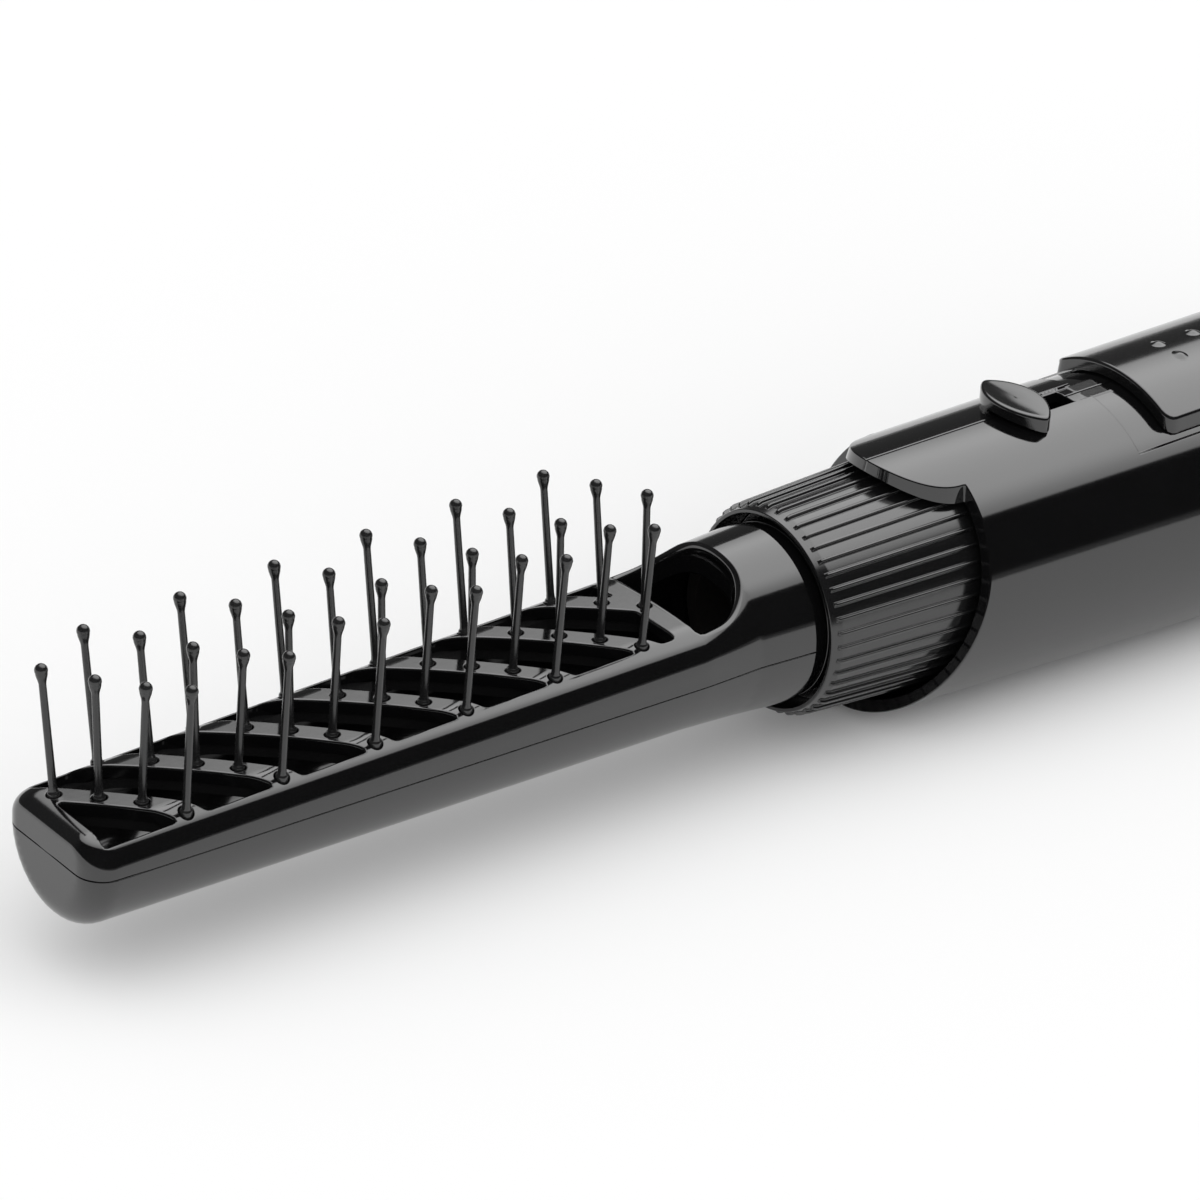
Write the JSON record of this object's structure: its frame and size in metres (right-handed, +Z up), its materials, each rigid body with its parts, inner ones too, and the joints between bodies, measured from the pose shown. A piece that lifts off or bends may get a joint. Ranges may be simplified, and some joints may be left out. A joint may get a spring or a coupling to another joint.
{
  "type": "hot air styler",
  "caption": "Hand-held hot air styler with a detachable vented brush head, ribbed grip collar, head lock slider, slide switch and swivelling cord gland.",
  "frame": {"origin": "on the flat that the handle rests on, under the middle of the whole length", "axes": "+X along the handle from the brush tip to the cord gland, +Z up through the brush pins and the switch"},
  "size_m": [0.3384, 0.047, 0.051],
  "materials": {
    "brush_black": "gloss",
    "pin_black": "satin",
    "grip_black": "satin",
    "housing_black": "satin gloss",
    "button_black": "gloss",
    "heat_resin": "matte, glass-filled",
    "steel": "zinc plated",
    "resistance_wire": "oxidised alloy",
    "mica": "pressed mica sheet",
    "motor_core": "laminated iron with wound wire",
    "magnet": "ferrite",
    "white_nylon": "matte",
    "board_green": "satin",
    "component_black": "matte",
    "ceramic_white": "matte",
    "filter_grey": "matte",
    "gland_black": "matte"
  },
  "bodies": {
    "handle": {"housing_left": "housing_black", "housing_right": "housing_black", "housing_screws": "steel", "air_nozzle": "heat_resin", "heater_tube": "mica", "heater_frame": "mica", "heating_coil": "resistance_wire", "thermostat": "steel", "thermal_fuse": "ceramic_white", "motor_can": "steel", "motor_end_cap": "white_nylon", "motor_magnets": "magnet", "air_guide": "white_nylon", "circuit_board": "board_green", "rectifier_diodes": "component_black", "slide_switch": "component_black", "lock_spring": "steel", "inlet_cap": "housing_black", "dust_filter": "filter_grey"},
    "brush_head": {"brush_top_shell": "brush_black", "brush_base_shell": "brush_black", "brush_pins": "pin_black", "grip_collar": "grip_black", "head_spigot": "heat_resin"},
    "head_lock": {"lock_slider": "button_black"},
    "lock_plunger": {"lock_pin": "steel"},
    "power_switch": {"switch_cover": "button_black", "switch_lever": "white_nylon"},
    "rotor": {"motor_shaft": "steel", "motor_armature": "motor_core", "fan": "white_nylon"},
    "cord_swivel": {"cord_gland": "gland_black", "gland_ring": "white_nylon"}
  },
  "joints": [
    {"name": "head_pull", "type": "slide", "parent": "handle", "child": "brush_head", "axis": [-1, 0, 0], "range_m": [0, 0.04]},
    {"name": "lock_slide", "type": "slide", "parent": "handle", "child": "head_lock", "axis": [1, 0, 0], "range_m": [0, 0.008]},
    {"name": "lock_pin_drop", "type": "slide", "parent": "handle", "child": "lock_plunger", "axis": [0, 0, -1], "range_m": [0, 0.0014], "stiffness_N_per_m": 20, "deforming": ["lock_spring"]},
    {"name": "switch_slide", "type": "slide", "parent": "handle", "child": "power_switch", "axis": [-1, 0, 0], "range_m": [0, 0.006]},
    {"name": "motor_spin", "type": "hinge", "parent": "handle", "child": "rotor", "pos_m": [0.12275, 0, 0.0224], "axis": [1, 0, 0], "continuous": true},
    {"name": "cord_turn", "type": "hinge", "parent": "handle", "child": "cord_swivel", "pos_m": [0.16275, 0, 0.0224], "axis": [1, 0, 0], "continuous": true}
  ],
  "couplings": [
    {"joint": "lock_pin_drop", "follows": "lock_slide", "ratio": 0.175}
  ]
}
